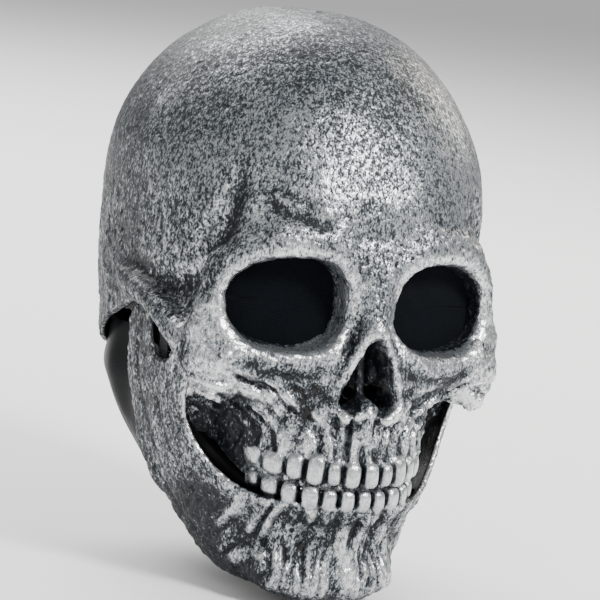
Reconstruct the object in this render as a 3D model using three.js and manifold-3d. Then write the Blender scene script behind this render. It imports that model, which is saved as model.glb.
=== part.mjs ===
// Full-head latex skull mask. Millimetres, +Z up, face towards -Y, the wearer's left at +X.
// The origin is the middle of the wearer's head at eye height.
import * as THREE from 'three';
import { mergeVertices } from 'three/addons/utils/BufferGeometryUtils.js';
import Module from 'manifold-3d';

const wasm = await Module();
wasm.setup();

// Driving dimensions
const WALL = 3;               // cast latex wall
const GAP = 0.3;              // clearance between touching pieces
const REACH = 400;            // cutting solids reach past the mask by this much
const CROWN_HEIGHT = 129.5;   // crown above the eyes
const HALF_BREADTH = 88;      // half the width of the cranium
const FACE_FRONT = -105;      // upper lip and nose
const BITE_HEIGHT = -87;      // where the tooth rows meet
const CHIN_BOTTOM = -148;
const SKIRT_BOTTOM = -119;

const EYE = { x: 41, z: -2, halfWidth: 27, halfHeight: 21, depth: 12, collar: 3 };
const NOSE = { top: -13, bottom: -49, halfWidth: 15, depth: 11 };
const HINGE = { y: -2, z: -14, shaftRadius: 3, headRadius: 6.5, tabRadius: 12 };
const MESH_THICKNESS = 1;
const BOND_THICKNESS = 2;
const SKIRT_THICKNESS = 1.6;
const STRAP = { width: 10, thickness: 1.2 };
const CROWN_PAD_FACE = 109;   // height of the flat underside of the crown pad

const AROUND = 36;            // facets round a lofted head form
const UP = 26;                // facets from its top to its bottom

const latex = new THREE.MeshStandardMaterial({ color: 0x8d9298, roughness: 0.42, metalness: 0.6 });
const blackLatex = new THREE.MeshStandardMaterial({ color: 0x14181d, roughness: 0.55, metalness: 0 });
const mesh = new THREE.MeshStandardMaterial({ color: 0x141c23, roughness: 0.9, metalness: 0 });
const bond = new THREE.MeshStandardMaterial({ color: 0x2a2622, roughness: 0.6, metalness: 0 });
const foam = new THREE.MeshStandardMaterial({ color: 0x2b2b2e, roughness: 0.95, metalness: 0 });
const elastic = new THREE.MeshStandardMaterial({ color: 0x101113, roughness: 0.85, metalness: 0 });
const rivetMetal = new THREE.MeshStandardMaterial({ color: 0x9a9c9e, roughness: 0.3, metalness: 1 });

// Each station: height, half width, front y, back y, y of the widest point, squareness of the outline.
const HEAD_STATIONS = [
  [CROWN_HEIGHT, 0, 10, 10, 10, 2],
  [126, 27, -26, 41, 10, 2],
  [114.5, 51, -53, 70, 9, 2],
  [95, 71, -72, 96, 7, 2.05],
  [68, 85, -87, 110, 5, 2.15],
  [42, HALF_BREADTH, -98, 113, 6, 2.3],
  [16, HALF_BREADTH, -99, 112, 5, 2.6],
  [-8, HALF_BREADTH, -99, 107, 2, 2.7],
  [-30, 87, FACE_FRONT, 99, 0, 2.7],
  [-48, 84, FACE_FRONT, 95, 0, 2.7],
  [-66, 79, FACE_FRONT, 88, 2, 2.7],
  [-85, 72, -98, 78, 2, 2.6],
  [-104, 40, -60, 50, 2, 2.2],
  [-110, 0, 2, 2, 2, 2],
];
const MAXILLA_STATIONS = [
  [-26, 0, -62, -62, -62, 2],
  [-31, 36, -94, -20, -46, 2],
  [-46, 55, FACE_FRONT - 1, 0, -40, 2],
  [-60, 58, -103, 0, -38, 2],
  [-74, 55, -103, 0, -38, 2],
  [-88, 51, -104, 0, -38, 2],
  [-104, 30, -90, -30, -50, 2],
  [-110, 0, -62, -62, -62, 2],
];
const JAW_STATIONS = [
  [12, 0, -20, -20, -20, 2],
  [6, 50, -60, 30, -15, 2.2],
  [-8, 78, -90, 45, -10, 2.6],
  [-30, 79, -98, 48, -8, 2.6],
  [-55, 78, -101, 48, -8, 2.5],
  [-80, 73, -103, 46, -10, 2.3],
  [-100, 67, -104, 42, -14, 2.2],
  [-116, 60, -97, 36, -22, 2.15],
  [-131, 50, -92, 24, -30, 2.1],
  [-142, 36, -84, 4, -38, 2.05],
  [CHIN_BOTTOM, 0, -44, -44, -44, 2],
];
const SKIRT_STATIONS = [
  [-4, 0, 20, 20, 20, 2],
  [-8, 50, -30, 66, 20, 2.6],
  [-22, 72, -60, 88, 20, 2.6],
  [-50, 72, -60, 85, 20, 2.5],
  [-68, 70, -56, 85, 18, 2.6],
  [-85, 65, -48, 79, 15, 2.6],
  [-105, 58, -42, 68, 10, 2.5],
  [SKIRT_BOTTOM, 51, -38, 57, 8, 2.3],
  [SKIRT_BOTTOM - 8, 30, -20, 30, 8, 2],
  [SKIRT_BOTTOM - 10, 0, 8, 8, 8, 2],
];

// Side outlines (y, z) of what each casting keeps.
const SKULL_SIDE = [
  [140, 140], [-140, 140], [-140, -56], [-92, -56], [-80, -50], [-69, -41], [-58, -32],
  [-47, -24], [-34, -18], [-11, -18], [57, -50], [140, -84],
];
const SKULL_CAVITY_SIDE = [
  [140, 140], [-140, 140], [-140, -53], [-90, -53], [-78, -48], [-66, -46], [-49, -36],
  [-49, -130], [140, -130],
];
const MAXILLA_SIDE = [
  [-30, -30], [-140, -30], [-140, BITE_HEIGHT], [-74, BITE_HEIGHT], [-66, -84], [-48, -74], [-34, -62],
  [-30, -52],
];
const MAXILLA_CAVITY_SIDE = [[-20, -20], [-140, -20], [-140, -130], [-20, -130]];
const JAW_SIDE = [
  [6, -6], [-12, -6], [-17, -20], [-19, -32], [-24, -40], [-36, -42], [-43, -36], [-50, -34],
  [-54, -44], [-52, -66], [-56, -77], [-64, -88], [-74, -96], [-84, -97], [-140, -96], [-140, -160],
  [-72, -160], [-41, -140], [-24, -121], [-8, -103], [4, -82], [8, -55], [8, -20],
];

const SKIRT_SIDE = [
  [-40, -48], [16, -30], [140, -30], [140, SKIRT_BOTTOM], [-8, SKIRT_BOTTOM], [-34, -106],
  [-40, -90],
];

function stationCurves(stations) {
  const outline = stations.map(([, half, front, back]) => new THREE.Vector3(half, front, back));
  const placing = stations.map(([z, , , , middle, square]) => new THREE.Vector3(z, middle, square));
  return [new THREE.CatmullRomCurve3(outline, false, 'catmullrom', 0.5),
    new THREE.CatmullRomCurve3(placing, false, 'catmullrom', 0.5)];
}

// A sphere whose rings are stretched to the stations' squared ovals.
function loftGeometry(stations, around = AROUND, up = UP) {
  const [outline, placing] = stationCurves(stations);
  const geometry = new THREE.SphereGeometry(1, around, up).rotateX(Math.PI / 2);
  geometry.deleteAttribute('normal');
  geometry.deleteAttribute('uv');
  const merged = mergeVertices(geometry, 1e-5);
  const position = merged.attributes.position;
  for (let i = 0; i < position.count; i += 1) {
    const direction = new THREE.Vector3().fromBufferAttribute(position, i);
    const along = Math.acos(THREE.MathUtils.clamp(direction.z, -1, 1)) / Math.PI;
    const { x: half, y: front, z: back } = outline.getPoint(along);
    const { x: height, y: middle, z: square } = placing.getPoint(along);
    const angle = Math.atan2(direction.y, direction.x);
    const side = Math.sign(Math.cos(angle)) * Math.abs(Math.cos(angle)) ** (2 / square);
    const depth = Math.abs(Math.sin(angle)) ** (2 / square);
    const y = Math.sin(angle) < 0 ? middle + (front - middle) * depth : middle + (back - middle) * depth;
    position.setXYZ(i, Math.max(half, 0) * side, y, height);
  }
  merged.computeVertexNormals();
  return merged;
}

function toSolid(geometry) {
  const bare = new THREE.BufferGeometry();
  bare.setAttribute('position', geometry.attributes.position.clone());
  if (geometry.index) bare.setIndex(geometry.index.clone());
  const merged = mergeVertices(bare, 1e-4);
  return new wasm.Manifold(new wasm.Mesh({
    numProp: 3,
    vertProperties: new Float32Array(merged.attributes.position.array),
    triVerts: new Uint32Array(merged.index.array),
  }));
}

// The loft moved inwards along its surface by depth.
function sunkLoft(loft, depth) {
  const sunk = loft.clone();
  const { position, normal } = sunk.attributes;
  for (let i = 0; i < position.count; i += 1) {
    const point = new THREE.Vector3().fromBufferAttribute(position, i);
    point.addScaledVector(new THREE.Vector3().fromBufferAttribute(normal, i), -depth);
    position.setXYZ(i, point.x, point.y, point.z);
  }
  return toSolid(sunk);
}

const layer = (loft, outerDepth, innerDepth) =>
  sunkLoft(loft, outerDepth).subtract(sunkLoft(loft, innerDepth));

const shapeOf = (points) => new THREE.Shape(points.map(([x, y]) => new THREE.Vector2(x, y)));

// A side outline (y, z) carried across the whole width.
function acrossWidth(points, halfWidth = REACH) {
  const geometry = new THREE.ExtrudeGeometry(shapeOf(points), { depth: 2 * halfWidth, bevelEnabled: false });
  geometry.translate(0, 0, -halfWidth);
  geometry.applyMatrix4(new THREE.Matrix4().makeBasis(
    new THREE.Vector3(0, 1, 0), new THREE.Vector3(0, 0, 1), new THREE.Vector3(1, 0, 0)));
  return toSolid(geometry);
}

// A front outline (x, z) carried back from in front of the face to y = backY.
function fromFront(shape, backY = -40) {
  const options = { depth: REACH + backY, bevelEnabled: false, curveSegments: 8 };
  const geometry = new THREE.ExtrudeGeometry(shape, options);
  geometry.rotateX(Math.PI / 2).translate(0, backY, 0);
  return toSolid(geometry);
}

function block(x0, x1, y0, y1, z0, z1) {
  const geometry = new THREE.BoxGeometry(x1 - x0, y1 - y0, z1 - z0);
  return toSolid(geometry.translate((x0 + x1) / 2, (y0 + y1) / 2, (z0 + z1) / 2));
}

function eyeOutline(side, grow) {
  const { x, z, halfWidth, halfHeight } = EYE;
  const points = [];
  const steps = 22;
  for (let i = 0; i < steps; i += 1) {
    const angle = (i / steps) * 2 * Math.PI;
    const u = Math.sign(Math.cos(angle)) * Math.abs(Math.cos(angle)) ** (2 / 2.5);
    const v = Math.sign(Math.sin(angle)) * Math.abs(Math.sin(angle)) ** (2 / 2.5);
    points.push(new THREE.Vector2(side * x + u * (halfWidth + grow), z + v * (halfHeight + grow)));
  }
  return new THREE.Shape(points);
}

function noseOutline(grow) {
  const { top, bottom, halfWidth } = NOSE;
  const shape = new THREE.Shape();
  shape.moveTo(0, top + grow);
  shape.quadraticCurveTo(halfWidth + grow, top - 12, halfWidth + grow, bottom + 8);
  shape.quadraticCurveTo(halfWidth + grow, bottom - grow, 6, bottom - grow);
  shape.lineTo(-6, bottom - grow);
  shape.quadraticCurveTo(-halfWidth - grow, bottom - grow, -halfWidth - grow, bottom + 8);
  shape.quadraticCurveTo(-halfWidth - grow, top - 12, 0, top + grow);
  return shape;
}

// Tooth crowns side by side round the front of the mouth.
function toothRow({ top, bottom, halfSpan, frontY, backY, radius }) {
  const count = 14;
  let row = null;
  for (let i = 0; i < count; i += 1) {
    const angle = ((i + 0.5) / count) * Math.PI;
    const x = halfSpan * Math.cos(angle);
    const y = backY + (frontY - backY) * Math.sin(angle) ** 0.9;
    const geometry = new THREE.CylinderGeometry(radius, radius * 0.8, top - bottom, 6, 1);
    geometry.rotateX(Math.PI / 2).rotateZ(angle).translate(x, y, (top + bottom) / 2);
    const crown = toSolid(geometry);
    row = row ? row.add(crown) : crown;
  }
  return row;
}

const headLoft = loftGeometry(HEAD_STATIONS);
const maxillaLoft = loftGeometry(MAXILLA_STATIONS, 28, 14);
const jawLoft = loftGeometry(JAW_STATIONS, AROUND, 22);
const skirtLoft = loftGeometry(SKIRT_STATIONS, 32, 16);

// The open collar that leads from the face back to the mesh or to the floor of the nose.
function collar(outlineAt, depth, width) {
  return layer(headLoft, 0.6, depth)
    .intersect(fromFront(outlineAt(width)).subtract(fromFront(outlineAt(0))));
}

function noseFloor() {
  const floor = layer(headLoft, NOSE.depth - 2, NOSE.depth + 0.5).intersect(fromFront(noseOutline(WALL)));
  const septum = block(-1.4, 1.4, FACE_FRONT + 3, FACE_FRONT + NOSE.depth + 1, NOSE.bottom, NOSE.top - 4);
  let recess = floor.add(septum);
  for (const side of [-1, 1]) {
    recess = recess.subtract(block(side * 8 - 3, side * 8 + 3, -130, -60, NOSE.bottom + 4, NOSE.bottom + 12));
  }
  return recess;
}

function skullShell() {
  const outside = sunkLoft(headLoft, 0).intersect(acrossWidth(SKULL_SIDE))
    .add(sunkLoft(maxillaLoft, 0).intersect(acrossWidth(MAXILLA_SIDE)));
  const cavity = sunkLoft(headLoft, WALL).intersect(acrossWidth(SKULL_CAVITY_SIDE))
    .add(sunkLoft(maxillaLoft, WALL).intersect(acrossWidth(MAXILLA_CAVITY_SIDE)));
  let shell = outside.subtract(cavity);
  for (const side of [-1, 1]) {
    shell = shell.subtract(fromFront(eyeOutline(side, 0)));
    shell = shell.add(collar((grow) => eyeOutline(side, grow), EYE.depth, EYE.collar));
  }
  shell = shell.subtract(fromFront(noseOutline(0)));
  shell = shell.add(collar(noseOutline, NOSE.depth, WALL)).add(noseFloor());
  return shell.add(toothRow({
    top: -72, bottom: BITE_HEIGHT, halfSpan: 40, frontY: -104, backY: -68, radius: 4.3,
  }));
}

// The ledge that carries the lower teeth inside the jaw's wall.
function gumShelf() {
  const throat = new THREE.CylinderGeometry(34, 34, REACH, 24);
  throat.rotateX(Math.PI / 2).scale(1, 0.85, 1).translate(0, -62, 0);
  return sunkLoft(jawLoft, WALL / 2)
    .intersect(block(-60, 60, -140, -66, -104.5, -101))
    .subtract(toSolid(throat));
}

function jawShell() {
  const holeRadius = HINGE.shaftRadius + GAP;
  const hingeHole = new THREE.CylinderGeometry(holeRadius, holeRadius, REACH, 20);
  hingeHole.rotateZ(Math.PI / 2).translate(0, HINGE.y, HINGE.z);
  const kept = layer(jawLoft, 0, WALL).intersect(acrossWidth(JAW_SIDE));
  const teeth = toothRow({
    top: BITE_HEIGHT - 1, bottom: -102, halfSpan: 39, frontY: -100, backY: -70, radius: 3.8,
  });
  return kept.add(gumShelf()).add(teeth).subtract(toSolid(hingeHole));
}

function eyeMesh(side) {
  const near = EYE.depth + GAP;
  return layer(headLoft, near, near + MESH_THICKNESS).intersect(fromFront(eyeOutline(side, EYE.collar)));
}

function meshBond(side) {
  const near = EYE.depth + GAP + MESH_THICKNESS + GAP;
  const ring = fromFront(eyeOutline(side, EYE.collar)).subtract(fromFront(eyeOutline(side, -2)));
  return layer(headLoft, near, near + BOND_THICKNESS).intersect(ring);
}

function neckSkirt() {
  return layer(skirtLoft, 0, SKIRT_THICKNESS).intersect(acrossWidth(SKIRT_SIDE));
}

// A foam pad inside the casting, cut to a box.
function liningPad(thickness, [x0, x1, y0, y1, z0, z1]) {
  const near = WALL + GAP;
  return layer(headLoft, near, near + thickness).intersect(block(x0, x1, y0, y1, z0, z1));
}

function crownPad() {
  const disc = new THREE.CylinderGeometry(38, 38, REACH, 32);
  const column = toSolid(disc.rotateX(Math.PI / 2).translate(0, 4, CROWN_PAD_FACE + REACH / 2));
  return sunkLoft(headLoft, WALL + GAP).intersect(column);
}

function chinCup() {
  return layer(jawLoft, WALL + GAP, WALL + GAP + 7)
    .intersect(block(-26, 26, -84, -50, -150, -128));
}

function hingeDisc(side, radius, fromX, toX) {
  const geometry = new THREE.CylinderGeometry(radius, radius, toX - fromX, 24);
  return toSolid(geometry.rotateZ(Math.PI / 2).translate(side * (fromX + toX) / 2, HINGE.y, HINGE.z));
}

function hingeTab(side) {
  const disc = hingeDisc(side, HINGE.tabRadius, 60, 100);
  const hole = hingeDisc(side, HINGE.shaftRadius + GAP, 50, 110);
  return layer(headLoft, WALL + GAP, WALL + 2.6 + GAP).intersect(disc).subtract(hole)
    .intersect(acrossWidth(SKULL_SIDE));
}

function hingeRivet(side) {
  return hingeDisc(side, HINGE.headRadius, 69, 71.4).add(hingeDisc(side, HINGE.shaftRadius, 71, 83.4));
}

// Flat elastic from the inside of the temple down to the inside of the jaw.
function jawElastic(side) {
  const path = new THREE.CatmullRomCurve3([
    new THREE.Vector3(side * 80, -22, 14), new THREE.Vector3(side * 77.5, -22.5, -2),
    new THREE.Vector3(side * 74, -23, -22), new THREE.Vector3(side * 72.4, -24, -48),
    new THREE.Vector3(side * 70.2, -26, -70),
  ]);
  const { width, thickness } = STRAP;
  const section = shapeOf([[-width / 2, -thickness / 2], [width / 2, -thickness / 2],
    [width / 2, thickness / 2], [-width / 2, thickness / 2]]);
  return toSolid(new THREE.ExtrudeGeometry(section, { steps: 14, extrudePath: path }));
}

const mask = new THREE.Group();

function addNode(name, solid, material) {
  const { vertProperties, triVerts } = solid.getMesh();
  const geometry = new THREE.BufferGeometry();
  geometry.setAttribute('position', new THREE.BufferAttribute(new Float32Array(vertProperties), 3));
  geometry.setIndex(new THREE.BufferAttribute(new Uint32Array(triVerts), 1));
  const node = new THREE.Mesh(geometry, material);
  node.name = name;
  mask.add(node);
}

addNode('skull_shell', skullShell(), latex);
addNode('jaw_shell', jawShell(), latex);
addNode('neck_skirt', neckSkirt(), blackLatex);
addNode('crown_pad', crownPad(), foam);
addNode('brow_pad', liningPad(8, [-46, 46, -140, -40, 34, 58]), foam);
addNode('nape_pad', liningPad(10, [-34, 34, 60, 140, -12, 26]), foam);
addNode('chin_cup', chinCup(), foam);
for (const [label, side] of [['right', -1], ['left', 1]]) {
  addNode(`eye_mesh_${label}`, eyeMesh(side), mesh);
  addNode(`mesh_bond_${label}`, meshBond(side), bond);
  addNode(`hinge_tab_${label}`, hingeTab(side), blackLatex);
  addNode(`hinge_rivet_${label}`, hingeRivet(side), rivetMetal);
  addNode(`jaw_elastic_${label}`, jawElastic(side), elastic);
}

export default mask;
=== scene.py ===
"""Looks of the full-head latex skull mask. The castings are modelled as clay on a grid of distances, in
millimetres, then meshed, wrinkled, pitted and painted. Metres everywhere else. Face towards -Y, +Z up."""
import math

import bpy
import numpy as np
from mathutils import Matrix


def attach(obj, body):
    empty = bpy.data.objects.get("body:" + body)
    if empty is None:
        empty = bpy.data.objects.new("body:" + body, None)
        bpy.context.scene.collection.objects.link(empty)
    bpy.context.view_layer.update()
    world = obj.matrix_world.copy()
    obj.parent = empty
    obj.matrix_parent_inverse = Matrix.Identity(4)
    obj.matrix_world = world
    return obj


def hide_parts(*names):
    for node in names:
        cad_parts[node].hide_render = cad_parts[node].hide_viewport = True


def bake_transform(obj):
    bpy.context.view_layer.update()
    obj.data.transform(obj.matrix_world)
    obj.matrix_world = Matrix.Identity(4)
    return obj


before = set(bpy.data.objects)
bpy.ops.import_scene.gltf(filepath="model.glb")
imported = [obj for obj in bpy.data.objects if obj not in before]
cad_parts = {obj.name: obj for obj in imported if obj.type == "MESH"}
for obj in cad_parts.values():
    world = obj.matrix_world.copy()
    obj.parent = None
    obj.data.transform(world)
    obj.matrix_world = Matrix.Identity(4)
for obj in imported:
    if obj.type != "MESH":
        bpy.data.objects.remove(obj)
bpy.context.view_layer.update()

import openvdb
from mathutils import Matrix, Vector

MM = 0.001
VOXEL = 1.0
WALL = 3.0
BAND = 9.0                    # the field is trusted this far from a surface
EYE_X, EYE_Z = 41.0, -2.0
EYE_HALF_WIDTH, EYE_HALF_HEIGHT = 27.0, 21.5
BITE = -87.0

# Height, half width, front y, back y, y of the widest point, squareness of the outline.
HEAD_STATIONS = (
    (129.5, 0, 10, 10, 10, 2), (126, 27, -26, 41, 10, 2), (114.5, 51, -53, 70, 9, 2),
    (95, 71, -72, 96, 7, 2.05), (68, 85, -87, 110, 5, 2.15), (42, 88, -96, 113, 6, 2.3),
    (16, 87.5, -95, 110, 5, 2.4), (-8, 87.5, -94, 106, 2, 2.4), (-30, 86.5, -99, 98.5, 0, 2.4),
    (-48, 84, -99, 96, 0, 2.4), (-66, 78, -94, 89, 2, 2.4), (-85, 72, -90, 80, 2, 2.4),
    (-104, 40, -60, 50, 2, 2.2), (-110, 0, 2, 2, 2, 2),
)
MAXILLA_STATIONS = (
    (-6, 0, -62, -62, -62, 2), (-12, 20, -86, -40, -56, 2), (-30, 42, -101, -20, -48, 2),
    (-46, 54, -104, 0, -40, 2.0), (-60, 57, -102, 0, -38, 2.0), (-74, 54, -101, 0, -38, 2.0),
    (-88, 50, -102, 0, -38, 2.0), (-104, 30, -90, -30, -50, 2), (-110, 0, -62, -62, -62, 2),
)
JAW_STATIONS = (
    (14, 0, -20, -20, -20, 2), (8, 60, -60, 30, -15, 2.2), (-8, 79, -90, 45, -10, 2.8),
    (-30, 79.5, -98, 48, -8, 2.9), (-55, 78, -101, 48, -8, 2.9), (-80, 73, -103, 46, -10, 2.35),
    (-98, 67.5, -102, 42, -14, 2.05), (-112, 61, -96, 36, -22, 1.95), (-126, 54, -93, 28, -28, 2.0),
    (-138, 45, -91, 12, -37, 2.2), (-144.5, 34, -84, 0, -43, 2.1), (-148, 0, -54, -54, -54, 2),
)
SKIRT_STATIONS = (
    (-22, 74, -60, 88, 20, 2.5), (-44, 76, -60, 89, 20, 2.5), (-58, 77, -58, 91, 17, 2.6),
    (-68, 74, -56, 89, 16, 2.6), (-85, 67, -48, 81.5, 12, 2.6), (-105, 56, -42, 67, 8, 2.4),
    (-119, 49, -38, 55, 8, 2.3),
)


def station_rows(stations, steps=24):
    """Catmull-Rom through the stations, as dense rows sorted by height."""
    rows = np.array(stations, float)
    padded = np.vstack([2 * rows[0] - rows[1], rows, 2 * rows[-1] - rows[-2]])
    out = []
    for i in range(len(rows) - 1):
        a, b, c, d = padded[i:i + 4]
        for t in np.linspace(0, 1, steps, endpoint=False):
            out.append(0.5 * (2 * b + (c - a) * t + (2 * a - 5 * b + 4 * c - d) * t ** 2
                              + (3 * b - a - 3 * c + d) * t ** 3))
    out.append(rows[-1])
    out = np.array(out)
    return out[np.argsort(out[:, 0])]


def smooth_min(a, b, k):
    if k <= 0:
        return np.minimum(a, b)
    h = np.maximum(k - np.abs(a - b), 0) / k
    return np.minimum(a, b) - h * h * k * 0.25


def smooth_max(a, b, k):
    return -smooth_min(-a, -b, k)


class Clay:
    """Half of a symmetric body as a grid of signed distances, from the middle plane to +X."""

    def __init__(self, low, high):
        self.low = np.array([0.0, low[1], low[2]])
        counts = [int(math.ceil((high[i] - self.low[i]) / VOXEL)) + 1 for i in range(3)]
        axes = [self.low[i] + VOXEL * np.arange(counts[i]) for i in range(3)]
        self.x = axes[0].astype(np.float32)[:, None, None]
        self.y = axes[1].astype(np.float32)[None, :, None]
        self.z = axes[2].astype(np.float32)[None, None, :]
        self.field = np.full(counts, BAND * 2, np.float32)

    def copy(self):
        other = object.__new__(Clay)
        other.__dict__.update(self.__dict__)
        other.field = self.field.copy()
        return other

    def window(self, low, high, margin):
        slices = []
        for i in range(3):
            first = int(math.floor((low[i] - margin - self.low[i]) / VOXEL))
            last = int(math.ceil((high[i] + margin - self.low[i]) / VOXEL)) + 1
            slices.append(slice(max(first, 0), max(min(last, self.field.shape[i]), 0)))
        sx, sy, sz = slices
        return (sx, sy, sz), self.x[sx], self.y[:, sy], self.z[:, :, sz]

    def add(self, form, k=3.0):
        at, x, y, z = self.window(form.low, form.high, BAND + k)
        self.field[at] = smooth_min(self.field[at], form(x, y, z), k)

    def cut(self, form, k=3.0):
        at, x, y, z = self.window(form.low, form.high, BAND + k)
        self.field[at] = smooth_max(self.field[at], -form(x, y, z), k)

    def keep(self, distance, k=1.0):
        self.field = smooth_max(self.field, distance.astype(np.float32), k)

    def loft(self, stations):
        """Distance to a body whose level outlines are squared ovals."""
        rows = station_rows(stations)
        z = np.clip(self.z, rows[0, 0], rows[-1, 0]).ravel()
        half, front, back, middle, square = (np.interp(z, rows[:, 0], rows[:, i])[None, None, :]
                                             .astype(np.float32) for i in range(1, 6))
        half = np.maximum(half, 0.5)
        reach = np.where(self.y < middle, middle - front, back - middle)
        reach = np.maximum(reach, 0.5)
        oval = ((np.abs(self.x) / half) ** square + (np.abs(self.y - middle) / reach) ** square)
        oval = oval ** (1 / square) - 1
        beyond = np.maximum(self.z - rows[-1, 0], rows[0, 0] - self.z)
        oval = np.maximum(oval * 30, beyond)
        return self.true_distance(np.clip(oval, -BAND, BAND).astype(np.float32))

    def true_distance(self, field):
        """The same surface with even distances on both sides of it, as far as the band reaches."""
        whole = np.concatenate([field[:0:-1], field])
        grid = openvdb.FloatGrid(BAND)
        grid.copyFromArray(whole)
        points, triangles, quads = grid.convertToPolygons(isovalue=0.0, adaptivity=0.0)
        level = openvdb.FloatGrid.createLevelSetFromPolygons(
            points, quads=quads, transform=openvdb.createLinearTransform(1.0), halfWidth=BAND / VOXEL)
        even = np.empty_like(whole)
        level.copyToArray(even)
        return even[field.shape[0] - 1:] * VOXEL

    def side_outline(self, points):
        """Distance to a side outline (y, z), carried across the whole width."""
        return polygon_distance(self.y, self.z, points)

    def sample(self, places):
        """The field at places (n, 3), which may lie on either side of the middle."""
        at = (np.abs(places * [1, 0, 0]) + places * [0, 1, 1] - self.low) / VOXEL
        at = np.clip(at, 0, np.array(self.field.shape) - 1.001)
        cell = at.astype(int)
        part = at - cell
        total = np.zeros(len(places))
        for corner in np.ndindex(2, 2, 2):
            weight = np.prod(np.where(corner, part, 1 - part), axis=1)
            total += weight * self.field[tuple((cell + corner).T)]
        return total

    def mesh(self):
        """Vertices (n, 3) in millimetres and quads of the whole body, both halves."""
        whole = np.concatenate([self.field[:0:-1], self.field])
        grid = openvdb.FloatGrid(BAND)
        grid.copyFromArray(np.clip(whole, -BAND, BAND))
        points, triangles, quads = grid.convertToPolygons(isovalue=0.0, adaptivity=0.0)
        start = self.low - [VOXEL * (self.field.shape[0] - 1), 0, 0]
        return points.astype(float) * VOXEL + start, quads


def polygon_distance(u, v, points):
    points = np.array(points, float)
    best = None
    inside = None
    for (au, av), (bu, bv) in zip(points, np.roll(points, -1, axis=0)):
        du, dv = bu - au, bv - av
        t = np.clip(((u - au) * du + (v - av) * dv) / (du * du + dv * dv), 0, 1)
        gap = (u - au - t * du) ** 2 + (v - av - t * dv) ** 2
        best = gap if best is None else np.minimum(best, gap)
        crosses = ((av > v) != (bv > v)) & (u < au + (v - av) * du / (dv if dv else 1e-9))
        inside = crosses if inside is None else inside ^ crosses
    return np.where(inside, -1, 1) * np.sqrt(best)


class Ball:
    """An ellipsoid, squared when power is over 2, turned about Z by turn degrees."""

    def __init__(self, centre, radii, turn=0.0, power=2.0, tilt=0.0):
        self.centre, self.radii, self.power = np.array(centre, float), np.array(radii, float), power
        self.turn, self.tilt = math.radians(turn), math.radians(tilt)
        self.low, self.high = self.centre - max(radii), self.centre + max(radii)

    def __call__(self, x, y, z):
        dx, dy, dz = x - self.centre[0], y - self.centre[1], z - self.centre[2]
        c, s = math.cos(self.turn), math.sin(self.turn)
        u, v = c * dx + s * dy, -s * dx + c * dy
        c, s = math.cos(self.tilt), math.sin(self.tilt)
        u, w = c * u + s * dz, -s * u + c * dz
        a, b, h = self.radii
        p = self.power
        size = ((np.abs(u) / a) ** p + (np.abs(v) / b) ** p + (np.abs(w) / h) ** p) ** (1 / p)
        length = np.sqrt(u * u + v * v + w * w)
        return length * (1 - 1 / np.maximum(size, 0.05))


class Tube:
    """A round bar along points, with a radius at each point."""

    def __init__(self, points, radii, closed=False):
        points = [np.array(p, float) for p in points]
        radii = [float(r) for r in (radii if hasattr(radii, "__len__") else [radii] * len(points))]
        if closed:
            points.append(points[0])
            radii.append(radii[0])
        self.points, self.radii = points, radii
        self.low = np.min(points, axis=0) - max(radii)
        self.high = np.max(points, axis=0) + max(radii)

    def __call__(self, x, y, z):
        best = None
        for a, b, ra, rb in zip(self.points, self.points[1:], self.radii, self.radii[1:]):
            d = b - a
            t = np.clip(((x - a[0]) * d[0] + (y - a[1]) * d[1] + (z - a[2]) * d[2]) / max(d @ d, 1e-6), 0, 1)
            gap = np.sqrt((x - a[0] - t * d[0]) ** 2 + (y - a[1] - t * d[1]) ** 2
                          + (z - a[2] - t * d[2]) ** 2) - (ra + (rb - ra) * t)
            best = gap if best is None else np.minimum(best, gap)
        return best


class Shaft:
    """A straight passage along Y over a front outline (x, z), between two values of y."""

    def __init__(self, points, y_low, y_high, taper=0.0, taper_from=-130.0):
        self.points = np.array(points, float)
        self.y_low, self.y_high, self.taper, self.taper_from = y_low, y_high, taper, taper_from
        low, high = self.points.min(0), self.points.max(0)
        self.low = np.array([low[0], y_low, low[1]])
        self.high = np.array([high[0], y_high, high[1]])

    def __call__(self, x, y, z):
        side = polygon_distance(x, z, self.points) + self.taper * np.maximum(y - self.taper_from, 0)
        ends = np.maximum(self.y_low - y, y - self.y_high)
        return np.maximum(side, ends)


def eye_outline(grow=0.0, steps=36):
    """The squared oval of the left eye socket as the face shows it, (x, z)."""
    points = []
    for i in range(steps):
        a = 2 * math.pi * i / steps
        u = math.copysign(abs(math.cos(a)) ** 0.82, math.cos(a))
        v = math.copysign(abs(math.sin(a)) ** 0.82, math.sin(a))
        droop = -3.0 * u * (v > 0) - 1.0 * u
        points.append((EYE_X + u * (EYE_HALF_WIDTH + grow) + 1.5 * v,
                       EYE_Z + v * (EYE_HALF_HEIGHT + grow) + droop))
    return points


def nose_outline(grow=0.0):
    right = [(0, -11.5), (4, -15.5), (8, -23), (12, -32), (15, -40), (16.3, -46), (14.5, -50.5), (10, -52),
             (5, -50), (1.6, -46.5), (0, -46)]
    points = right + [(-x, z) for x, z in right[-2:0:-1]]
    centre = np.array([0, -36.0])
    out = []
    for p in np.array(points, float):
        away = p - centre
        out.append(tuple(p + away / max(np.linalg.norm(away), 1) * grow))
    return out


def face_depth(x, z):
    """Where the rim of the socket lies, by its place on the face."""
    return -92.0 + 0.0046 * (x - 12) ** 2 * (x > 12) + 0.09 * (z - EYE_Z)


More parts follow.
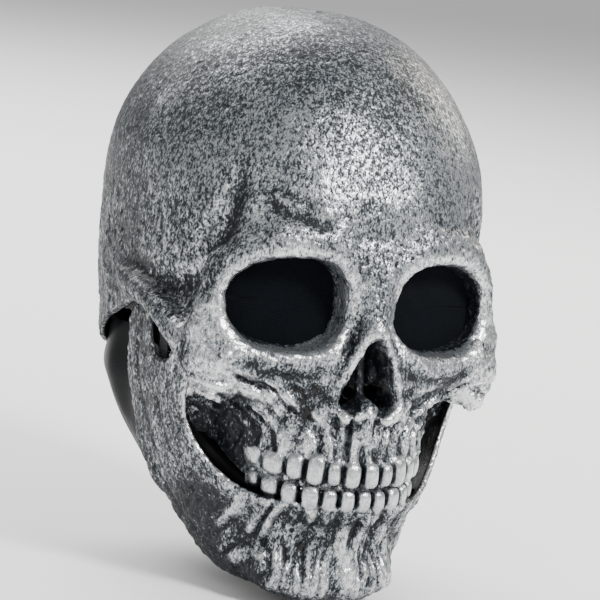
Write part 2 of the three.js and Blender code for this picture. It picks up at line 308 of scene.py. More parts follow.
# Side outlines (y, z) of what is left of each casting when it is trimmed
SKULL_KEEP = ((140, 150), (-150, 150), (-150, -58), (-92, -58), (-81, -52), (-73, -45), (-63, -36),
              (-54, -28), (-45, -22), (-34, -18.5), (-22, -17.5), (-11, -18), (24, -33), (57, -50),
              (140, -84))
MEMBRANE_KEEP = ((-28, -20), (-150, -20), (-150, BITE - 3.6), (-74, BITE - 3.6), (-66, -88), (-48, -75),
                 (-34, -63), (-28, -52))
JAW_KEEP = ((7, -4), (-9, -4), (-12.5, -14), (-15.5, -24), (-18.5, -34), (-25, -41), (-34, -42.5),
            (-42, -39), (-48, -30), (-54, -28), (-58, -36), (-57, -46), (-53.5, -56), (-52.5, -66),
            (-56, -76), (-63, -85), (-70, -91), (-76, -94.5), (-84, -96.5), (-150, -97), (-150, -170),
            (-72, -170), (-44, -142), (-26, -122), (-9, -103), (2, -84), (7, -60), (9, -30))


def arch_point(s, half, front, back_y):
    """A point on the half-oval of a tooth row at the distance s from its middle, and its heading."""
    angles = np.linspace(math.pi / 2, 0, 120)
    xs = half * np.cos(angles)
    ys = back_y + (front - back_y) * np.sin(angles)
    lengths = np.concatenate([[0], np.cumsum(np.hypot(np.diff(xs), np.diff(ys)))])
    x, y = np.interp(s, lengths, xs), np.interp(s, lengths, ys)
    ahead_x, ahead_y = np.interp(s + 0.5, lengths, xs), np.interp(s + 0.5, lengths, ys)
    return x, y, math.degrees(math.atan2(ahead_y - y, ahead_x - x))


# Width and height of each crown from the middle of the row outwards
UPPER_TEETH = ((9.4, 12.6), (8.0, 11.6), (9.8, 15), (9.4, 12.4), (13.2, 11.6), (12.2, 11))
LOWER_TEETH = ((8.4, 10.6), (8.6, 10.4), (9.8, 11), (9.6, 10.4), (11, 10.4), (11, 9))


def tooth_forms(teeth, half, front, back_y, bite, downwards):
    """One crown with its root's rib for each tooth of the left half of a row."""
    s = 0.0
    for number, (width, height) in enumerate(teeth):
        middle_s = s + width / 2
        x, y, turn = arch_point(middle_s, half, front, back_y)
        s += width
        way = 1 if downwards else -1
        uneven = (0.0, 0.9, -0.7, 0.5, -0.3, 0.4)[number]
        middle = bite + 0.0009 * middle_s ** 2 + way * (height / 2 + 0.4 + 0.5 * uneven)
        lean = (2, -4, 3, -3, 2, 4)[number] * way
        crown = Ball((x, y + 0.5 * uneven, middle), (width * 0.455, 4.4, height / 2), turn,
                     power=3.0, tilt=lean)
        out_x, out_y = math.sin(math.radians(turn)), -math.cos(math.radians(turn))
        root_length = 12 if downwards else 5
        root = Tube([(x - 2.0 * out_x, y - 2.0 * out_y, middle + way * height * 0.4),
                     (x - 3.6 * out_x, y - 3.6 * out_y, middle + way * (height * 0.5 + root_length))],
                    [width * 0.42, width * 0.2])
        yield crown, root


UPPER_ROW = (UPPER_TEETH, 41.5, -106, -66, BITE, True)
LOWER_ROW = (LOWER_TEETH, 40, -102.5, -66, BITE - 0.6, False)


def skull_clay():
    clay = Clay((0, -122, -116), (100, 122, 138))
    head = clay.loft(HEAD_STATIONS)
    under_face = polygon_distance(clay.y, clay.z, ((200, 200), (-200, 200), (-200, -52), (-92, -52),
                                                   (-78, -50), (-62, -46), (-48, -38), (-48, -300),
                                                   (200, -300)))
    head = smooth_max(head, under_face.astype(np.float32), 9)
    clay.field = smooth_min(head, clay.loft(MAXILLA_STATIONS), 9)

    # Brow and bridge of the nose
    clay.add(Tube([(8, -92, 14), (26, -90, 26), (46, -84.5, 27), (61, -77, 21), (69, -69, 12)],
                  [5.5, 6, 5.5, 5, 4.5]), 14)
    clay.add(Tube([(0, -90, 22), (0, -94, 8), (0, -99, -4), (0, -104, -11)], [8, 9, 8, 6]), 9)

    # Crease round the bulging temple, from the brow's end down and back over the arch
    clay.cut(Tube([(63, -71, 56), (67, -68, 46), (69.5, -66, 34), (71.5, -63, 24), (75.5, -60, 13),
                   (80, -57, 3), (84, -49, -4), (87.5, -38, -5), (90, -24, -2), (91, -10, 3)],
                  [2.5, 4.8, 5.8, 6.8, 7.8, 8.8, 8.8, 7.2, 5.4, 2.6]), 6)

    # Cheekbone, its arch and the pillar beside the socket
    clay.add(Tube([(69.5, -67, 14), (71.5, -68, 2), (73.5, -69, -8), (75, -70, -18)], [4.4, 5.2, 6.5, 8]), 7)
    clay.add(Tube([(86, 2, -8), (87.5, -12, -10), (87.5, -30, -11.5), (85.5, -44, -17), (80.5, -57, -25),
                   (75, -67, -34)], [5, 5, 5, 5.5, 7, 9]), 7)
    clay.add(Ball((67, -72, -32), (14, 13, 16), turn=-20), 10)
    clay.add(Tube([(67, -77, -34), (69, -79, -47)], [8, 4.6]), 5)
    clay.add(Tube([(66, -80, -27), (50, -88, -32), (34, -92, -31), (18, -95, -23)], [6, 5.5, 5, 5]), 8)

    # Hollow below the socket
    clay.cut(Ball((45, -103, -49), (13, 10, 11), turn=-20), 10)

    # Socket: rolled rim, then the hollow
    rim = [(x, face_depth(x, z) + 0.8, z) for x, z in eye_outline(3.4)]
    clay.add(Tube(rim, 3.8, closed=True), 6)
    clay.cut(Shaft(eye_outline(0.4), -130, -62, taper=0.16, taper_from=-86), 3.5)

    # Nose: rim, hollow, floor with its ridges
    nose_rim = [(x, -105.5 + 0.012 * x * x + (2.5 if z > -20 else 0), z) for x, z in nose_outline(1.6)]
    clay.add(Tube(nose_rim, 2.6, closed=True), 4)
    clay.cut(Shaft(nose_outline(-0.6), -130, -84, taper=0.06), 2.5)
    clay.add(Tube([(0, -103, -49), (0.5, -107.5, -51), (1, -104, -62)], [3.6, 2.4, 3.0]), 3)
    clay.add(Tube([(0, -92, -16), (1, -90, -30), (0, -95, -48)], [1.8, 1.5, 2.2]), 2)
    clay.add(Tube([(6.5, -85, -20), (8, -87, -32), (7, -88, -44)], [2.0, 3.0, 2.0]), 2)
    clay.add(Tube([(12, -86, -30), (13, -88, -40)], [1.6, 2.2]), 2)

    for crown, root in tooth_forms(*UPPER_ROW):
        clay.add(root, 6)
    clay.field = clay.true_distance(clay.field)
    return clay


def skull_shell_clay(solid):
    shell = solid.copy()
    shell.field = np.maximum(solid.field, -(solid.field + WALL))
    border = solid.side_outline(SKULL_KEEP)
    membrane = solid.side_outline(MEMBRANE_KEEP) + np.maximum(solid.x - 62, 0)
    shell.keep(np.minimum(border, membrane), 0.8)
    shell.cut(Shaft(eye_outline(-3.5), -78, -40), 0.5)
    shell.cut(Shaft([(3.5, -50), (12.5, -50), (13.5, -40), (3.5, -40)], -92, -60), 0.5)
    for crown, root in tooth_forms(*UPPER_ROW):
        shell.add(crown, 0.5)
    return shell


def jaw_clay():
    clay = Clay((0, -122, -156), (100, 60, 26))
    clay.field = clay.loft(JAW_STATIONS)
    clay.add(Tube([(0, -86, -139), (14, -86, -139.5), (28, -80, -136)], [6, 6.5, 6.5]), 12)
    clay.add(Tube([(60, -12, -104), (66, -4, -88)], [5, 4]), 9)
    clay.cut(Ball((30, -103, -116), (17, 9, 9), turn=-24), 12)
    for crown, root in tooth_forms(*LOWER_ROW):
        clay.add(root, 6)
    clay.field = clay.true_distance(clay.field)
    return clay


def jaw_shell_clay(solid):
    shell = solid.copy()
    shell.field = np.maximum(solid.field, -(solid.field + WALL))
    gum_shelf = np.maximum(np.abs(solid.z + 98.5) - 1.5, solid.y + 60)
    shell.field = np.minimum(shell.field, np.maximum(solid.field, gum_shelf).astype(np.float32))
    shell.keep(solid.side_outline(JAW_KEEP), 1.2)
    throat = np.maximum(np.hypot(shell.x / 28, (shell.y + 58) / 22) * 22 - 22, -(shell.z + 116))
    shell.field = np.maximum(shell.field, -throat.astype(np.float32))
    for crown, root in tooth_forms(*LOWER_ROW):
        shell.add(crown, 0.5)
    return shell


def hashed(cell, seed):
    """An even random number in 0..1 for each lattice cell (n, 3)."""
    mixed = (cell[:, 0] * 73856093) ^ (cell[:, 1] * 19349663) ^ (cell[:, 2] * 83492791) ^ (seed * 668265263)
    mixed = (mixed ^ (mixed >> 13)) * 1274126177
    mixed = (mixed ^ (mixed >> 16)) & 0xFFFFFF
    return mixed / 0xFFFFFF


def noise(places, seed=0):
    """Smooth random relief, about -1..1."""
    cell = np.floor(places).astype(np.int64)
    part = places - cell
    part = part * part * (3 - 2 * part)
    total = np.zeros(len(places))
    for corner in np.ndindex(2, 2, 2):
        weight = np.prod(np.where(corner, part, 1 - part), axis=1)
        total += weight * hashed(cell + corner, seed)
    return total * 2 - 1


def layered(places, size, octaves=3, seed=0):
    """Noise of a given size in millimetres with finer noise on it."""
    total, gain, turned = 0.0, 1.0, places / size
    for octave in range(octaves):
        total = total + gain * noise(turned + 17.3 * octave, seed + octave)
        turned = turned[:, [1, 2, 0]] * 2.03
        gain *= 0.5
    return total


def ease(value, low, high):
    """0 below low, 1 above high, smooth between; low may be over high."""
    t = np.clip((value - low) / (high - low), 0, 1)
    return t * t * (3 - 2 * t)


def stroke_distance(u, v, points):
    """Distance from places (u, v) to a line through points."""
    best = np.full(len(u), 1e9)
    for (au, av), (bu, bv) in zip(points, points[1:]):
        du, dv = bu - au, bv - av
        t = np.clip(((u - au) * du + (v - av) * dv) / (du * du + dv * dv), 0, 1)
        best = np.minimum(best, np.hypot(u - au - t * du, v - av - t * dv))
    return best


# Grooves pressed into the clay: side, places, width and depth in mm.
# Places are (x, z) in the face strokes and (y, z) in the side strokes.
FACE_STROKES = (
    ("right", ((-52, 44), (-45, 40), (-35, 37), (-27, 37)), 2.6, 1.5),
    ("right", ((-55, 50), (-48, 51), (-40, 47), (-34, 43)), 2.0, 0.8),
    ("left", ((30, 44), (38, 38), (48, 37), (56, 42)), 2.8, 0.8),
    ("both", ((13, -7), (11, -14), (13, -22), (17, -29)), 2.0, 0.5),
    ("both", ((24, -33), (38, -37), (52, -35), (62, -30)), 2.4, 1.2),
    ("both", ((22, -41), (34, -44), (48, -43), (60, -39)), 2.0, 1.3),
    ("both", ((30, -47), (34, -55), (37, -64)), 1.6, 1.4),
    ("both", ((25, -44), (29, -53), (30, -66)), 1.8, 1.5),
    ("both", ((18, -54), (21, -63), (21, -73)), 1.7, 1.3),
    ("both", ((8, -56), (9, -64), (8.5, -73)), 1.5, 1.2),
    ("left", ((15, -56), (17, -64), (16, -72)), 1.6, 1.8),
    ("both", ((39, -50), (44, -60), (46, -72)), 1.7, 1.4),
    ("both", ((7, -100), (6, -112), (8, -124)), 2.0, 1.5),
    ("right", ((-16, -99), (-15, -110), (-18, -122), (-17, -132)), 2.4, 1.8),
    ("left", ((17, -100), (19, -112), (17, -124)), 2.2, 1.8),
    ("both", ((27, -102), (29, -113), (26, -126)), 2.2, 1.5),
    ("right", ((-37, -103), (-38, -112), (-35, -121)), 2.0, 1.5),
    ("both", ((0, -128), (1, -136), (-1, -143)), 3.0, 1.3),
)
SIDE_STROKES = (
    ("right", ((-20, 62), (-14, 66), (-8, 64)), 1.2, 0.8),
    ("both", ((-66, -18), (-70, -26), (-72, -38)), 1.6, 0.8),
    ("both", ((-5, -34), (-9, -60), (-22, -88)), 1.8, 0.7),
    ("both", ((-30, -62), (-36, -84), (-52, -108)), 1.5, 0.7),
    ("both", ((-12, -92), (-34, -118), (-58, -134)), 2.0, 0.9),
)


# The crease behind the brow and over the cheek arch, (y, z), along which shade is painted
TEMPLE_CREASE = ((-71, 56), (-68, 46), (-66, 34), (-63, 24), (-60, 13), (-57, 3), (-49, -4), (-38, -5),
                 (-24, -2), (-10, 3))


def strokes_relief(places, strokes, u_axis, mask):
    relief = np.zeros(len(places))
    wander = layered(places, 9, 2, seed=31) * 1.2
    for side, points, width, depth in strokes:
        here = mask & ((places[:, 0] > 0) if side == "left" else (places[:, 0] < 0) if side == "right"
                       else np.ones(len(places), bool))
        u = places[:, u_axis]
        if u_axis == 0 and side == "both":
            u = np.abs(u)
        gap = stroke_distance(u[here] + wander[here], places[here, 2] + wander[here] * 0.6, points)
        relief[here] -= depth * np.exp(-(gap / width) ** 2)
    return relief


def casting_relief(places, normals, is_jaw):
    """Height of the hand-modelled surface over the smooth clay, in mm."""
    x, y, z = places.T
    side = np.abs(x)
    front = ease(-normals[:, 1], 0.1, 0.5) * ease(-y, 40, 60)

    # Stringy flesh: ridges that run down the face and lean outwards as they rise
    if is_jaw:
        across, length = x * (1 + 0.004 * (z + 100)), z
        strings = front * ease(z, -147, -136) * ease(z, -96, -101)
    else:
        lift = np.maximum(z + 66, 0)
        across, length = x / (1 + 0.016 * lift + 0.0011 * lift ** 2), z + 0.012 * x * x
        strings = front * ease(z, -33, -46) * ease(z, -90, -78) + 0.3 * front * ease(z, 8, -10)
        strings = strings * ease(side, 2, 7)
    bend = layered(places, 22, 2, seed=5) * 2.4
    threads = np.stack([(across + bend) / 4.3, y / 40, length / 27], 1)
    coarse = np.minimum(3.0 * np.abs(noise(threads, 3)), 1.3) - 0.75
    fine = np.minimum(3.0 * np.abs(noise(threads * [2.1, 2, 1.7], 4)), 1.4) - 0.8
    relief = strings * (1.7 * coarse + 0.7 * fine)

    # Muscle grain on the sides of the jaw and the temple's fine upright grain
    slanted = np.stack([(y * 0.8 + z * 0.5) / 3.2, x / 20, (z * 0.8 - y * 0.5) / 14], 1)
    grain = (1 - front) * (ease(z, -30, -45) if not is_jaw else 1.0)
    relief += grain * 0.22 * (2.4 * np.abs(noise(slanted, 8)) - 0.7)
    upright = np.stack([y / 2.6, x / 12, z / 8], 1)
    temple = ease(side, 62, 72) * ease(z, -10, 0) * ease(z, 62, 45) * ease(y, 20, -10)
    relief += temple * 0.30 * noise(upright, 12)

    # Orange peel, shallow dents and pits everywhere, calmer on the cranium
    calm = 1 - 0.6 * ease(z, 22, 44) * (not is_jaw)
    peel = 2.2 * np.abs(noise(places / 3.1, 24)) - 0.6
    relief += 0.30 * calm * (layered(places, 6, 3, seed=1) + peel)
    relief += 0.35 * layered(places, 26, 2, seed=2)
    relief -= 1.3 * calm * np.maximum(noise(places / 2.7, 21) - 0.38, 0)
    relief += strokes_relief(places, FACE_STROKES, 0, (y < -58) & (side < 70))
    relief += strokes_relief(places, SIDE_STROKES, 1, side > 40)
    return relief


def vertex_normals(piece):
    normals = np.empty(len(piece.data.vertices) * 3, np.float32)
    piece.data.vertices.foreach_get("normal", normals)
    return normals.reshape(-1, 3).astype(float)


def set_layer(piece, name, values):
    layer = piece.data.attributes.new(name, "FLOAT", "POINT")
    layer.data.foreach_set("value", values.astype(np.float32))


def finish_casting(piece, solid, shell, teeth, is_jaw):
    """Press the relief into the casting and work out where the silver paint catches, from its form, with
    painted light on faces turned to the front and painted shade in hollows, in the temple crease and on
    faces turned away, down or towards the back.
    """
    places = np.empty(len(piece.data.vertices) * 3, np.float32)
    piece.data.vertices.foreach_get("co", places)
    places = places.reshape(-1, 3).astype(float) / MM
    normals = vertex_normals(piece)
    depth = solid.sample(places)
    outside = ease(depth, -2.7, -1.9)
    half = places.copy()
    half[:, 0] = np.abs(half[:, 0])
    tooth = np.full(len(places), 99.0)
    for crown, root in teeth:
        tooth = np.minimum(tooth, crown(*half.T))
    tooth = ease(tooth, 1.4, 0.2)
    outside = np.maximum(outside, tooth)
    relief = casting_relief(places, normals, is_jaw)
    moved = places + normals * (relief * outside * (1 - 0.93 * tooth))[:, None]
    piece.data.vertices.foreach_set("co", (moved * MM).astype(np.float32).ravel())
    piece.data.update()

    # Openness: how far the clay falls away a little out from the surface
    open_near = shell.sample(places + normals * 2.4) / 2.4
    open_far = shell.sample(places + normals * 7.0) / 7.0
    hollow = ease(0.6 * open_near + 0.4 * open_far, 0.97, 0.40)
    x, y, z = places.T
    side = np.abs(x)
    facing = -normals[:, 1]
    # Silver sits on the raised relief; the hollow term keeps it off the grooves and also paints shade into
    # recesses
    drybrush_and_light = 0.40 + 0.36 * np.clip(relief, -1.6, 1.2) - 0.55 * hollow
    # Painted light on faces turned to the front, painted shade on faces turned away
    drybrush_and_light += 0.22 * ease(facing, 0.25, 0.9) * ease(z, 112, 40)
    drybrush_and_light += 0.14 * ease(facing, 0.2, 0.7) * ease(z, -24, -50)
    drybrush_and_light -= 0.12 * ease(facing, 0.3, -0.2)
    drybrush_and_light -= 0.05 * ease(z, 60, 120)
    if is_jaw:
        # Painted shade on the jaw's faces turned away
        drybrush_and_light -= 0.10 * ease(facing, 0.35, -0.1)
        # Black paint under the jaw and painted shade on faces turned down
        drybrush_and_light -= 0.75 * ease(0.55 * y + z, -117, -138) * ease(facing, 0.6, 0.25)
        drybrush_and_light -= 0.35 * ease(-normals[:, 2], 0.35, 0.8)
        drybrush_and_light += 0.55 * ease(depth, -0.5, -1.2) * ease(-y, 12, 20)
    else:
        socket = polygon_distance(side, z, eye_outline(-0.2))
        drybrush_and_light -= 1.4 * ease(socket, 0.8, -0.8) * (y < -50)
        nose = polygon_distance(side, z, nose_outline(-0.4))
        drybrush_and_light -= 1.0 * ease(nose, 0.6, -0.6) * ease(y, -102, -98)
        drybrush_and_light -= 0.6 * ease(side, 42, 50) * ease(z, -54, -58)
        drybrush_and_light += 0.34 * ease(socket, 9, 4) * (y < -50)
        drybrush_and_light += 0.3 * ease(side, 58, 64) * ease(z, -54, -44) * ease(z, 4, -10) * ease(-y, 52, 62)
        # Painted shade towards the back of the head
        drybrush_and_light -= 0.12 * ease(y, -20, 40)
        # Painted shade in the temple crease
        crease = stroke_distance(y, z, TEMPLE_CREASE)
        drybrush_and_light -= 0.42 * np.exp(-(crease / 5.5) ** 2) * ease(side, 58, 64)
        drybrush_and_light += 0.35 * ease(nose, 6.0, 2.5) * ease(nose, 0.4, 1.4) * ease(-y, 96, 100) * ease(side, 20, 14)
    # Teeth are pushed into the near-white painted highlight and darkened in hollows with painted shade;
    # their edges get dark joints
    drybrush_and_light = drybrush_and_light * (1 - tooth) + tooth * (1.02 - 0.8 * hollow) - 1.3 * tooth * (1 - tooth)
    set_layer(piece, "drybrush_and_light", np.clip(drybrush_and_light, 0, 1.3))
    set_layer(piece, "outside", outside)
    set_layer(piece, "tooth", tooth)


def make_object(name, places, faces, material):
    """A smooth-shaded object from vertices in millimetres and faces with equal numbers of corners."""
    mesh = bpy.data.meshes.new(name)
    mesh.vertices.add(len(places))
    mesh.vertices.foreach_set("co", (places * MM).astype(np.float32).ravel())
    corners = faces.shape[1]
    mesh.loops.add(faces.size)
    mesh.loops.foreach_set("vertex_index", faces.astype(np.int32).ravel())
    mesh.polygons.add(len(faces))
    mesh.polygons.foreach_set("loop_start", np.arange(0, faces.size, corners, dtype=np.int32))
    mesh.polygons.foreach_set("loop_total", np.full(len(faces), corners, np.int32))
    mesh.update(calc_edges=True)
    mesh.polygons.foreach_set("use_smooth", np.ones(len(faces), bool))
    piece = bpy.data.objects.new(name, mesh)
    bpy.context.scene.collection.objects.link(piece)
    mesh.materials.append(material)
    return piece


def plain_material(name, colour, roughness):
    material = bpy.data.materials.new(name)
    material.use_nodes = True
    shader = material.node_tree.nodes["Principled BSDF"]
    shader.inputs["Base Color"].default_value = (*colour, 1)
    shader.inputs["Roughness"].default_value = roughness
    return material


class Nodes:
    """Short names for building a shader."""

    def __init__(self, name):
        self.material = bpy.data.materials.new(name)
        self.material.use_nodes = True
        self.tree = self.material.node_tree
        self.shader = self.tree.nodes["Principled BSDF"]

    def set(self, **values):
        for name, value in values.items():
            self.shader.inputs[name.replace("_", " ")].default_value = value

    def link(self, out, into):
        self.tree.links.new(out, into)

    def coordinates(self):
        return self.tree.nodes.new("ShaderNodeTexCoord").outputs["Object"]

    def layer(self, name):
        node = self.tree.nodes.new("ShaderNodeAttribute")
        node.attribute_name = name
        return node.outputs["Fac"]

    def noise(self, size, detail=3.0, roughness=0.6, stretch=(1, 1, 1)):
        """Noise of the given size in millimetres."""
        mapping = self.tree.nodes.new("ShaderNodeMapping")
        mapping.inputs["Scale"].default_value = stretch
        self.link(self.coordinates(), mapping.inputs["Vector"])
        node = self.tree.nodes.new("ShaderNodeTexNoise")
        node.inputs["Scale"].default_value = 1 / (size * MM)
        node.inputs["Detail"].default_value = detail
        node.inputs["Roughness"].default_value = roughness
        self.link(mapping.outputs["Vector"], node.inputs["Vector"])
        return node.outputs["Fac"]

    def maths(self, operation, a, b):
        node = self.tree.nodes.new("ShaderNodeMath")
        node.operation = operation
        for socket, value in zip(node.inputs, (a, b)):
            if isinstance(value, (int, float)):
                socket.default_value = value
            else:
                self.link(value, socket)
        return node.outputs[0]

    def range(self, value, low, high, to_low=0.0, to_high=1.0):
        node = self.tree.nodes.new("ShaderNodeMapRange")
        node.interpolation_type = "SMOOTHSTEP"
        self.link(value, node.inputs["Value"])
        for name, number in (("From Min", low), ("From Max", high), ("To Min", to_low), ("To Max", to_high)):
            node.inputs[name].default_value = number
        return node.outputs["Result"]

    def mix(self, factor, a, b):
        node = self.tree.nodes.new("ShaderNodeMix")
        node.data_type = "RGBA"
        for socket, value in ((node.inputs["Factor"], factor), (node.inputs["A"], a), (node.inputs["B"], b)):
            if isinstance(value, tuple):
                socket.default_value = (*value, 1)
            elif isinstance(value, float):
                socket.default_value = value
            else:
                self.link(value, socket)
        return node.outputs["Result"]

    def bump(self, height, depth, under=None):
        """Fine relief of the given depth in millimetres."""
        node = self.tree.nodes.new("ShaderNodeBump")
        node.inputs["Distance"].default_value = depth * MM
        self.link(height, node.inputs["Height"])
        if under is not None:
            self.link(under, node.inputs["Normal"])
        return node.outputs["Normal"]


BLACK_LATEX = (0.005, 0.006, 0.008)
SILVER_PAINT = (0.34, 0.356, 0.366)
# Near-white silver: the heaviest brushing and a painted highlight
BRIGHT_SILVER_AND_HIGHLIGHT = (0.78, 0.785, 0.79)
DULL_SILVER = (0.060, 0.071, 0.080)
RAW_LATEX = (0.022, 0.018, 0.016)
DARK_RAW_LATEX = (0.014, 0.012, 0.011)


def painted_latex():
    """Black latex dry-brushed with silver, which sits on what stands out and leaves the grooves black; the
    level it reads also carries painted light and shade, and its top is a painted highlight.
    """
    m = Nodes("painted_latex")
    stipple = m.noise(0.8, 3, 0.6, stretch=(1.0, 1.0, 0.6))
    speck = m.noise(1.7, 3, 0.6, stretch=(1.0, 1.0, 0.6))
    patch = m.noise(19, 3, 0.5)
    drybrush_and_light = m.layer("drybrush_and_light")
    tooth = m.layer("tooth")
    grainy = m.maths("ADD", m.maths("MULTIPLY", m.maths("SUBTRACT", stipple, 0.5), 2.2),
                     m.maths("MULTIPLY", m.maths("SUBTRACT", speck, 0.5), 2.0))
    grainy = m.maths("MULTIPLY", grainy, m.range(tooth, 0, 1, 1.0, 0.35))
    level = m.maths("ADD", drybrush_and_light, m.maths("MULTIPLY", m.maths("SUBTRACT", patch, 0.5), 0.35))
    level = m.maths("ADD", level, grainy)
    thin = m.range(level, 0.20, 0.40)
    thick = m.range(level, 0.42, 0.78)
    colour = m.mix(thin, BLACK_LATEX, DULL_SILVER)
    colour = m.mix(thick, colour, SILVER_PAINT)
    # The top of the level turns near-white: heavy silver and painted highlight
    colour = m.mix(m.range(level, 0.74, 1.30), colour, BRIGHT_SILVER_AND_HIGHLIGHT)
    outside = m.layer("outside")
    raw = m.mix(m.noise(6, 3), RAW_LATEX, DARK_RAW_LATEX)
    m.link(m.mix(outside, raw, colour), m.shader.inputs["Base Color"])
    m.link(m.maths("MULTIPLY", m.maths("MULTIPLY", thick, 0.92), outside), m.shader.inputs["Metallic"])
    m.link(m.range(level, 0.0, 1.1, 0.48, 0.27), m.shader.inputs["Roughness"])
    m.set(Specular_IOR_Level=0.22, Coat_Weight=0.03, Coat_Roughness=0.3, IOR=1.5)
    peel = m.bump(stipple, 0.18)
    m.link(m.bump(speck, 0.28, peel), m.shader.inputs["Normal"])
    return m.material


def black_rubber():
    m = Nodes("black_rubber")
    m.link(m.mix(m.noise(3, 4), (0.014, 0.014, 0.015), (0.035, 0.034, 0.033)), m.shader.inputs["Base Color"])
    m.link(m.range(m.noise(1.4, 3), 0.3, 0.7, 0.45, 0.7), m.shader.inputs["Roughness"])
    m.link(m.bump(m.noise(1.8, 4), 0.4), m.shader.inputs["Normal"])
    m.set(Specular_IOR_Level=0.45)
    return m.material


def weave(m, size, axes=("X", "Z")):
    """Crossed threads of the given pitch in millimetres."""
    waves = []
    for axis in axes:
        node = m.tree.nodes.new("ShaderNodeTexWave")
        node.bands_direction = axis
        node.inputs["Scale"].default_value = 1 / (size * MM) * 0.314
        node.inputs["Distortion"].default_value = 0.6
        node.inputs["Detail Scale"].default_value = 3
        m.link(m.coordinates(), node.inputs["Vector"])
        waves.append(node.outputs["Fac"])
    return m.maths("MULTIPLY", waves[0], waves[1])


def woven_mesh():
    m = Nodes("woven_mesh")
    threads = weave(m, 0.8)
    colour = m.mix(threads, (0.0010, 0.0016, 0.0026), (0.0042, 0.0065, 0.0095))
    fade = m.range(m.noise(14, 2), 0.3, 0.7)
    m.link(m.mix(fade, colour, (0.0022, 0.0034, 0.005)), m.shader.inputs["Base Color"])
    m.link(m.bump(threads, 0.25), m.shader.inputs["Normal"])
    m.set(Roughness=0.9, Specular_IOR_Level=0.06, Sheen_Weight=0.01, Sheen_Roughness=0.6)
    return m.material


def satin_stretch():
    m = Nodes("satin_stretch")
    streaks = m.noise(9, 4, 0.6, stretch=(1, 1, 0.12))
    m.link(m.mix(m.range(streaks, 0.35, 0.7), (0.0014, 0.0017, 0.0024), (0.0077, 0.0087, 0.0105)),
           m.shader.inputs["Base Color"])
    m.link(m.range(streaks, 0.3, 0.7, 0.42, 0.62), m.shader.inputs["Roughness"])
    knit = weave(m, 1.1, ("Z", "DIAGONAL"))
    m.link(m.bump(knit, 0.05), m.shader.inputs["Normal"])
    m.set(Specular_IOR_Level=0.14, Sheen_Weight=0.02, Sheen_Roughness=0.4)
    return m.material


def open_foam():
    m = Nodes("open_foam")
    cells = m.tree.nodes.new("ShaderNodeTexVoronoi")
    cells.inputs["Scale"].default_value = 1 / (1.6 * MM)
    m.link(m.coordinates(), cells.inputs["Vector"])
    holes = m.range(cells.outputs["Distance"], 0.15, 0.6)
    m.link(m.mix(holes, (0.10, 0.10, 0.105), (0.03, 0.03, 0.033)), m.shader.inputs["Base Color"])
    m.link(m.bump(m.maths("SUBTRACT", 1.0, holes), 0.9), m.shader.inputs["Normal"])
    m.set(Roughness=0.95, Specular_IOR_Level=0.15, Sheen_Weight=0.15)
    return m.material


def ribbed_elastic():
    m = Nodes("ribbed_elastic")
    ribs = weave(m, 1.2, ("Y", "Z"))
    m.link(m.mix(ribs, (0.008, 0.008, 0.009), (0.04, 0.04, 0.043)), m.shader.inputs["Base Color"])
    m.link(m.bump(ribs, 0.35), m.shader.inputs["Normal"])
    m.set(Roughness=0.8, Specular_IOR_Level=0.3, Sheen_Weight=0.15)
    return m.material


def plated_steel():
    m = Nodes("plated_steel")
    m.link(m.mix(m.noise(2.2, 4), (0.48, 0.49, 0.50), (0.62, 0.62, 0.63)), m.shader.inputs["Base Color"])
    m.link(m.range(m.noise(0.9, 4), 0.3, 0.7, 0.22, 0.42), m.shader.inputs["Roughness"])
    m.link(m.bump(m.noise(0.5, 2), 0.05), m.shader.inputs["Normal"])
    m.set(Metallic=1.0, Anisotropic=0.2)
    return m.material


def shared(rings, around, closed=True):
    """Quads over a grid of rings of points."""
    faces = []
    for r in range(rings - 1):
        for i in range(around if closed else around - 1):
            j = (i + 1) % around
            faces.append((r * around + i, r * around + j, (r + 1) * around + j, (r + 1) * around + i))
    return np.array(faces)


def mesh_depth(x, z):
    return face_depth(x, z) + 9.5


def eye_mesh_sheet(side):
    """See-through cloth stretched across the back of the socket, a little slack in the middle."""
    around, rings = 96, 26
    rim = np.array(eye_outline(1.0, around))
    centre = rim.mean(0)
    places = []
    for r in range(rings):
        share = max(r, 0.02) / (rings - 1)
        points = centre + (rim - centre) * share
        slack = 1.6 * (1 - share ** 2)
        y = mesh_depth(points[:, 0], points[:, 1]) + slack
        places.append(np.stack([points[:, 0] * side, y, points[:, 1]], 1))
    places = np.concatenate(places)
    places[:, 1] += 0.35 * layered(places, 13, 2, seed=44)
    faces = shared(rings, around)
    return places, faces if side < 0 else faces[:, ::-1]


def bond_bead(side):
    """Brushed-on latex that holds the mesh to the back of the socket, as an uneven ring."""
    around, section = 96, 14
    rim = np.array(eye_outline(0.6, around))
    centre = rim.mean(0)
    outward = (rim - centre) / np.linalg.norm(rim - centre, axis=1)[:, None]
    places = []
    for k in range(section):
        a = 2 * math.pi * k / section
        out, back = 3.2 * math.cos(a), 1.3 * math.sin(a)
        points = rim + outward * out
        y = mesh_depth(points[:, 0], points[:, 1]) + 1.9 + back
        places.append(np.stack([points[:, 0] * side, y, points[:, 1]], 1))
    places = np.concatenate(places)
    places += 0.35 * np.stack([layered(places, 5, 2, seed=51 + i) for i in range(3)], 1)
    faces = shared(section, around)
    last = shared(2, around)
    last = np.where(last < around, last + (section - 1) * around, last - around)
    faces = np.concatenate([faces, last])
    return places, faces if side > 0 else faces[:, ::-1]


SKIRT_TOP, SKIRT_DROP = -34, 85
SKIRT_FRONT = -38             # y of the skirt's two front edges


